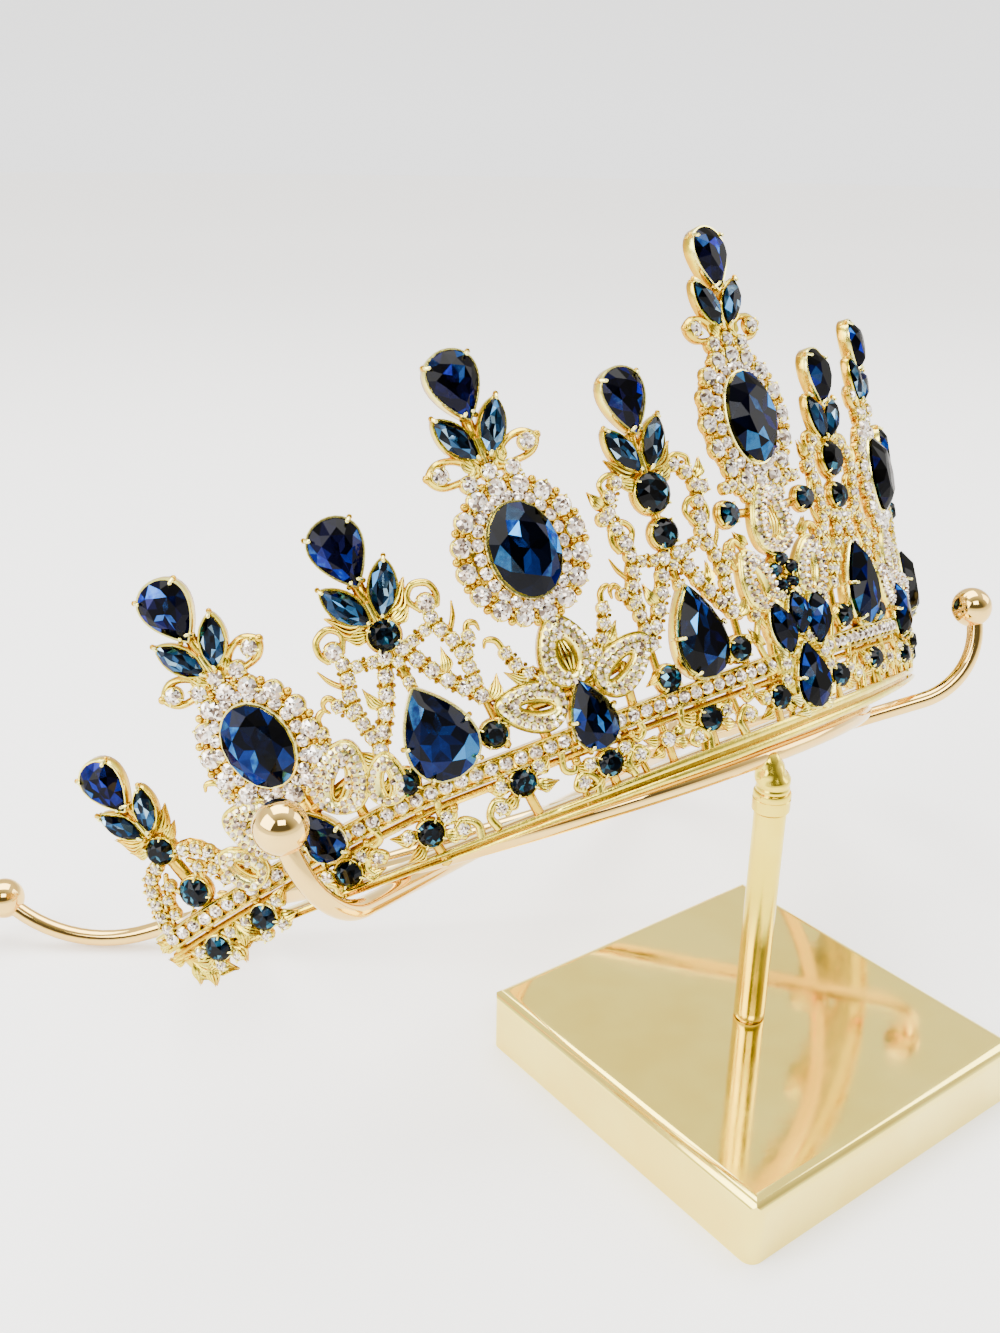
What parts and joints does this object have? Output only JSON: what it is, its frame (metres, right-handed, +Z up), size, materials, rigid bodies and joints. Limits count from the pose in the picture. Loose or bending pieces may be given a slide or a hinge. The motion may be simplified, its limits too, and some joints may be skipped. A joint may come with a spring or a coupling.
{
  "type": "crystal tiara on display stand",
  "caption": "Open-work gilt tiara with oval, pear and marquise blue stones in clear-stone halos, resting on a small gilt stand with a tilted hoop head.",
  "frame": {"origin": "centre of the underside of the stand's base, on the surface that it stands on", "axes": "+Z up, along the post; the tiara faces -Y; +X is to the right of someone who looks along +Y"},
  "size_m": [0.2242, 0.1706, 0.1569],
  "materials": {
    "stand_gold": "polished pale gilt plate",
    "rod_gold": "polished warm gilt plate",
    "tiara_gold": "bright gilt plate on a cast alloy",
    "sapphire_glass": "cut and foiled dark blue glass",
    "steel_blue_glass": "cut and foiled steel blue glass",
    "clear_glass": "cut and foiled clear glass"
  },
  "bodies": {
    "root": {"stand_base": "stand_gold", "stand_post": "stand_gold", "stand_head": "rod_gold", "tiara_frame": "tiara_gold", "peak_pear_1": "sapphire_glass", "peak_pear_2": "sapphire_glass", "peak_pear_3": "sapphire_glass", "peak_pear_4": "sapphire_glass", "peak_pear_5": "sapphire_glass", "peak_pear_6": "sapphire_glass", "peak_pear_7": "sapphire_glass", "peak_pear_8": "sapphire_glass", "peak_pear_9": "sapphire_glass", "peak_pear_10": "sapphire_glass", "peak_pear_11": "sapphire_glass", "oval_stone_2": "sapphire_glass", "oval_stone_4": "sapphire_glass", "oval_stone_6": "sapphire_glass", "oval_stone_8": "sapphire_glass", "oval_stone_10": "sapphire_glass", "round_stone_1": "sapphire_glass", "round_stone_3": "sapphire_glass", "round_stone_5": "sapphire_glass", "round_stone_7": "sapphire_glass", "round_stone_9": "sapphire_glass", "round_stone_11": "sapphire_glass", "second_round_1": "sapphire_glass", "second_round_5": "sapphire_glass", "second_round_7": "sapphire_glass", "second_round_11": "sapphire_glass", "big_pear_3": "sapphire_glass", "big_pear_5": "sapphire_glass", "big_pear_7": "sapphire_glass", "big_pear_9": "sapphire_glass", "drop_pear_2": "sapphire_glass", "drop_pear_4": "sapphire_glass", "drop_pear_8": "sapphire_glass", "drop_pear_10": "sapphire_glass", "cluster_left_stone": "sapphire_glass", "cluster_right_stone": "sapphire_glass", "cluster_top_stone": "sapphire_glass", "cluster_pear_stone": "sapphire_glass", "marquise_stones": "steel_blue_glass", "small_blue_stones": "sapphire_glass", "clear_stones": "clear_glass"}
  },
  "joints": []
}
